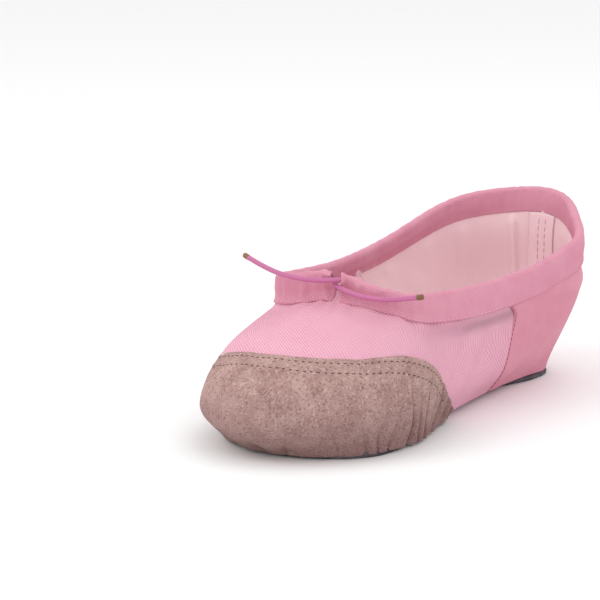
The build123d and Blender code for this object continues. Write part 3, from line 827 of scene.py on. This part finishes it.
def leatherMaterial():
    # Chrome-tanned sole leather, dyed and scuffed: near black, greyer in scattered scuffed patches.
    mat = newMaterial("soleLeather_dyed")
    place = add(mat, "ShaderNodeTexCoord")
    grain = add(mat, "ShaderNodeTexVoronoi", {"Vector": (place, 3)}, inputs={"Scale": 900.0})
    scuff = add(mat, "ShaderNodeTexNoise", {"Vector": (place, 3)},
                inputs={"Scale": 120.0, "Detail": 6.0, "Roughness": 0.75})
    level = add(mat, "ShaderNodeMapRange", {"Value": scuff}, inputs={"From Min": 0.4, "From Max": 0.75})
    base = mixColour(mat, level, "#38323a", "#6f666c")
    return finishSurface(mat, base, (grain, 0), 0.75, 0.15 * mm, 0.6, 0.0, "#ffffff", 0.4)


def cordMaterial():
    # Elastic braid over rubber: diagonal plaits a millimetre apart with a slight sheen.
    mat = newMaterial("elasticBraid_woven")
    place = add(mat, "ShaderNodeTexCoord")
    plait = add(mat, "ShaderNodeTexWave", {"Vector": (place, 3)}, bands_direction="DIAGONAL",
                inputs={"Scale": 420.0, "Distortion": 2.5, "Detail": 2.0})
    base = mixColour(mat, plait, "#b45f8c", "#c4739c")
    return finishSurface(mat, base, plait, 0.5, 0.05 * mm, 0.4, 0.1, "#f0b6dc", 0.4)


def plainThread(name, light, dark):
    # Twisted sewing thread: fine slanting plies.
    mat = newMaterial(name)
    place = add(mat, "ShaderNodeTexCoord")
    ply = add(mat, "ShaderNodeTexWave", {"Vector": (place, 3)}, bands_direction="DIAGONAL",
              inputs={"Scale": 700.0, "Distortion": 0.5})
    base = mixColour(mat, ply, dark, light)
    return finishSurface(mat, base, ply, 0.7, 0.05 * mm, 0.5, 0.2, light, 0.3)


def sealedMaterial():
    # Elastic end melted by a flame: hard brown drip, a little glossy.
    mat = newMaterial("cordEnd_melted")
    place = add(mat, "ShaderNodeTexCoord")
    burn = add(mat, "ShaderNodeTexNoise", {"Vector": (place, 3)}, inputs={"Scale": 700.0, "Detail": 3.0})
    base = mixColour(mat, burn, "#4c3322", "#9a7148")
    return finishSurface(mat, base, burn, 0.45, 0.15 * mm, 0.6)


def foamMaterial():
    # Felted foam under the insole cover: pale, open-pored.
    mat = newMaterial("insoleFoam_felted")
    place = add(mat, "ShaderNodeTexCoord")
    pores = add(mat, "ShaderNodeTexVoronoi", {"Vector": (place, 3)}, inputs={"Scale": 1200.0})
    base = mixColour(mat, pores, "#d8c8c0", "#efe4de")
    return finishSurface(mat, base, (pores, 0), 0.95, 0.1 * mm)


suedeHide, soleLeather, braid = suedeMaterial(), leatherMaterial(), cordMaterial()
darkThread = plainThread("sewingThread_dark", "#6b4a48", "#3d2625")
roseThread = plainThread("sewingThread_rose", "#c0708c", "#9c4a68")
pinkThread = plainThread("sewingThread_pink", "#eeb0c6", "#d88ea8")
paleThread = plainThread("sewingThread_pale", "#d3a3ae", "#b9848f")
wearMaterial(cloth["vamp"], vampCloth)
wearMaterial(cloth["left"], quarterCloth)
wearMaterial(cloth["right"], quarterCloth)
wearMaterial(binding, tapeCloth)
wearMaterial(tape, liningCloth)
wearMaterial(base, quarterCloth)
wearMaterial(insole, liningCloth)
wearMaterial(toePatch, suedeHide)
for obj in linings.values():
    wearMaterial(obj, liningCloth)
for obj in soles.values():
    wearMaterial(obj, soleLeather)
for obj in threads:
    wearMaterial(obj, darkThread)
for obj in seamStitches:
    wearMaterial(obj, roseThread)
wearMaterial(edgeStitches, pinkThread)
wearMaterial(backStitches, paleThread)
for side, obj in tails.items():
    wearMaterial(obj, braid)
    wearMaterial(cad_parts["cord_tip_" + side], sealedMaterial())
wearMaterial(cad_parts["drawstring_loop"], braid)
wearMaterial(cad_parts["insole_foam"], foamMaterial())
print("materials made")

# ---- studio ----
studio = {"floor": "#f4f4f4", "world": 1.0, "key": 3.2, "fill": 1.2, "top": 1.7}


def makeStudio():
    half = 9000
    corners = np.array([[-half, -half, 0], [half, -half, 0], [half, half, 0], [-half, half, 0]])
    floor = makeMesh("studioFloor", corners, [[0, 1, 2, 3]], smooth=False)
    mat = newMaterial("studioPaper_matt")
    finishSurface(mat, studio["floor"], None, 0.9, 0.0, specular=0.1)
    wearMaterial(floor, mat)
    world = bpy.data.worlds.new("studioWorld")
    world.use_nodes = True
    world.node_tree.nodes["Background"].inputs[0].default_value = (1, 1, 1, 1)
    world.node_tree.nodes["Background"].inputs[1].default_value = studio["world"]
    scene.world = world
    for name, power, size, place in (("keyLight", studio["key"], 0.7, (-0.5, -0.8, 0.9)),
                                     ("fillLight", studio["fill"], 0.9, (0.9, -0.5, 0.7)),
                                     ("topLight", studio["top"], 0.9, (0.1, 0.4, 1.1))):
        lamp = bpy.data.lights.new(name, "AREA")
        lamp.energy, lamp.size = power, size
        obj = bpy.data.objects.new(name, lamp)
        obj.location = place
        obj.rotation_euler = (Vector((0, 0, 0.03)) - Vector(place)).to_track_quat("-Z", "Y").to_euler()
        scene.collection.objects.link(obj)
    scene.view_settings.view_transform = "Standard"


makeStudio()
bpy.context.view_layer.update()
